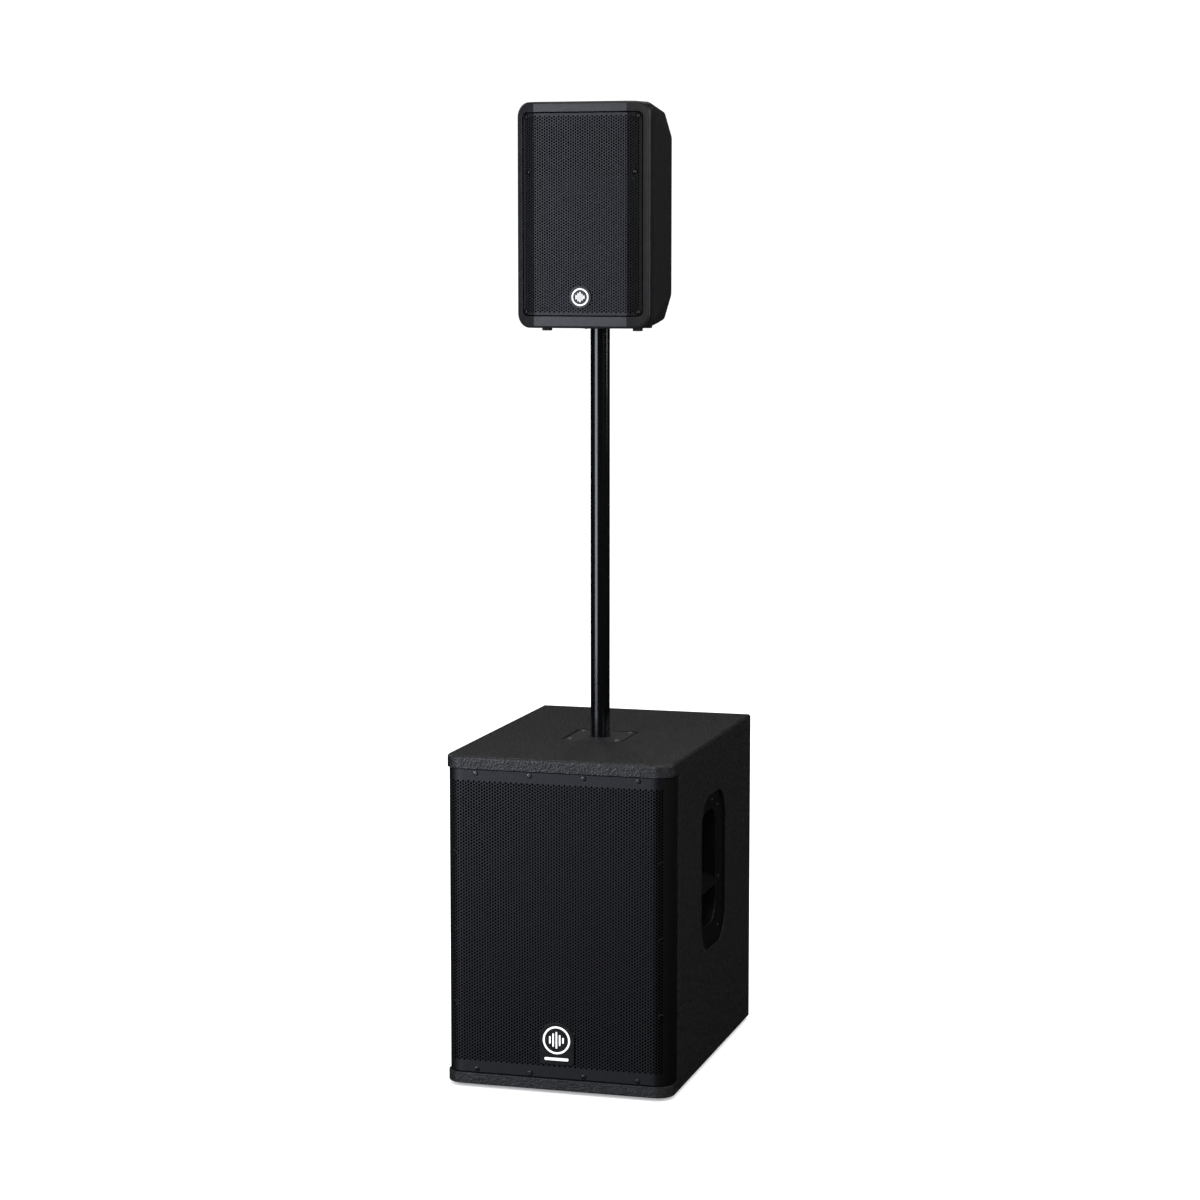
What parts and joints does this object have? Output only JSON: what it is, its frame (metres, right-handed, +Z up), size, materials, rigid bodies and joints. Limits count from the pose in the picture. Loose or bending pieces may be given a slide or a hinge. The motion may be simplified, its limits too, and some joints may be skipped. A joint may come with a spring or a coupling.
{
  "type": "pa speaker stack",
  "caption": "Powered two-way loudspeaker on a pole that stands in a powered subwoofer; it swivels on the pole, and the controls at the back move.",
  "frame": {"origin": "on the floor, at the middle of the stack's box, which is the middle of the subwoofer's footprint", "axes": "+Z up the pole, +X to the right as seen from the front, +Y from the front to the back"},
  "size_m": [0.414, 0.6, 1.7305],
  "materials": {
    "cabinet_paint": "plywood with black textured paint",
    "bare_wood": "unpainted plywood inside the cabinet",
    "black_plastic": "fine-grained black moulding",
    "grille_steel": "black powder-coated perforated steel",
    "panel_metal": "black painted steel or die-casting",
    "pole_paint": "semi-gloss black paint",
    "cone_paper": "black pressed paper",
    "soft_rubber": "matt black rubber",
    "grille_foam": "open-cell black foam",
    "spider_cloth": "resin-stiffened cloth",
    "magnet_steel": "zinc-plated steel round a ferrite ring",
    "coil_copper": "copper winding",
    "circuit_board": "green circuit board with parts",
    "badge_white": "white ring on a black plate"
  },
  "bodies": {
    "subwoofer": {"sub_top_panel": "cabinet_paint", "sub_bottom_panel": "cabinet_paint", "sub_side_panel_left": "cabinet_paint", "sub_side_panel_right": "cabinet_paint", "sub_back_panel": "cabinet_paint", "sub_baffle": "bare_wood", "sub_brace": "bare_wood", "sub_port_duct": "black_plastic", "sub_handle_left": "black_plastic", "sub_handle_right": "black_plastic", "sub_mains_inlet": "black_plastic", "sub_grille": "grille_steel", "sub_pole_socket": "panel_metal", "sub_woofer_frame": "panel_metal", "sub_amp_panel": "panel_metal", "sub_heat_sink": "panel_metal", "sub_xlr_input": "panel_metal", "sub_xlr_output": "panel_metal", "sub_foot_front_left": "soft_rubber", "sub_foot_front_right": "soft_rubber", "sub_foot_back_left": "soft_rubber", "sub_foot_back_right": "soft_rubber", "sub_woofer_surround": "soft_rubber", "sub_grille_foam": "grille_foam", "sub_woofer_spider": "spider_cloth", "sub_woofer_magnet": "magnet_steel", "sub_amp_board": "circuit_board", "sub_badge": "badge_white"},
    "loudspeaker": {"top_front_moulding": "black_plastic", "top_rear_shell": "black_plastic", "top_handle": "black_plastic", "top_pole_socket": "black_plastic", "top_horn": "black_plastic", "top_mains_inlet": "black_plastic", "top_grille": "grille_steel", "top_woofer_frame": "panel_metal", "top_amp_panel": "panel_metal", "top_input_jack_1": "panel_metal", "top_input_jack_2": "panel_metal", "top_xlr_output": "panel_metal", "top_woofer_surround": "soft_rubber", "top_woofer_magnet": "magnet_steel", "top_compression_driver": "magnet_steel", "top_amp_board": "circuit_board", "top_badge": "badge_white"},
    "sub_cone_group": {"sub_woofer_cone": "cone_paper", "sub_woofer_dust_cap": "cone_paper", "sub_voice_coil": "coil_copper"},
    "sub_level_control": {"sub_level_knob": "black_plastic"},
    "sub_polarity_slider": {"sub_polarity_switch": "black_plastic"},
    "sub_filter_slider": {"sub_filter_switch": "black_plastic"},
    "sub_power_rocker": {"sub_power_switch": "black_plastic"},
    "pole": {"pole_tube": "pole_paint", "pole_lower_cap": "black_plastic", "pole_upper_cap": "black_plastic"},
    "top_cone_group": {"top_woofer_cone": "cone_paper"},
    "top_level_control_1": {"top_level_knob_1": "black_plastic"},
    "top_level_control_2": {"top_level_knob_2": "black_plastic"},
    "top_contour_slider": {"top_contour_switch": "black_plastic"},
    "top_power_rocker": {"top_power_switch": "black_plastic"}
  },
  "joints": [
    {"name": "pole_lift", "type": "slide", "parent": "subwoofer", "child": "pole", "axis": [0, 0, 1], "range_m": [0, 0.08]},
    {"name": "loudspeaker_swivel", "type": "hinge", "parent": "pole", "child": "loudspeaker", "pos_m": [0, -0.021, 1.337], "axis": [0, 0, 1], "continuous": true},
    {"name": "sub_cone_travel", "type": "slide", "parent": "subwoofer", "child": "sub_cone_group", "axis": [0, -1, 0], "range_m": [-0.007, 0.007], "stiffness_N_per_m": 2500, "deforming": ["sub_woofer_surround", "sub_woofer_spider"]},
    {"name": "sub_level_turn", "type": "hinge", "parent": "subwoofer", "child": "sub_level_control", "pos_m": [0.07, 0.2853, 0.272], "axis": [0, 1, 0], "range_deg": [-150, 150]},
    {"name": "sub_polarity_slide", "type": "slide", "parent": "subwoofer", "child": "sub_polarity_slider", "axis": [0, 0, 1], "range_m": [0, 0.004]},
    {"name": "sub_filter_slide", "type": "slide", "parent": "subwoofer", "child": "sub_filter_slider", "axis": [0, 0, 1], "range_m": [0, 0.004]},
    {"name": "sub_power_rock", "type": "hinge", "parent": "subwoofer", "child": "sub_power_rocker", "pos_m": [-0.07, 0.2853, 0.21], "axis": [-1, 0, 0], "range_deg": [0, 16]},
    {"name": "top_cone_travel", "type": "slide", "parent": "loudspeaker", "child": "top_cone_group", "axis": [0, -1, 0], "range_m": [-0.004, 0.004], "stiffness_N_per_m": 2000, "deforming": ["top_woofer_surround"]},
    {"name": "top_level_turn_1", "type": "hinge", "parent": "loudspeaker", "child": "top_level_control_1", "pos_m": [0.042, 0.102, 1.527], "axis": [0, 1, 0], "range_deg": [-150, 150]},
    {"name": "top_level_turn_2", "type": "hinge", "parent": "loudspeaker", "child": "top_level_control_2", "pos_m": [0.008, 0.102, 1.527], "axis": [0, 1, 0], "range_deg": [-150, 150]},
    {"name": "top_contour_slide", "type": "slide", "parent": "loudspeaker", "child": "top_contour_slider", "axis": [0, 0, 1], "range_m": [0, 0.004]},
    {"name": "top_power_rock", "type": "hinge", "parent": "loudspeaker", "child": "top_power_rocker", "pos_m": [0.042, 0.102, 1.459], "axis": [-1, 0, 0], "range_deg": [0, 16]}
  ]
}
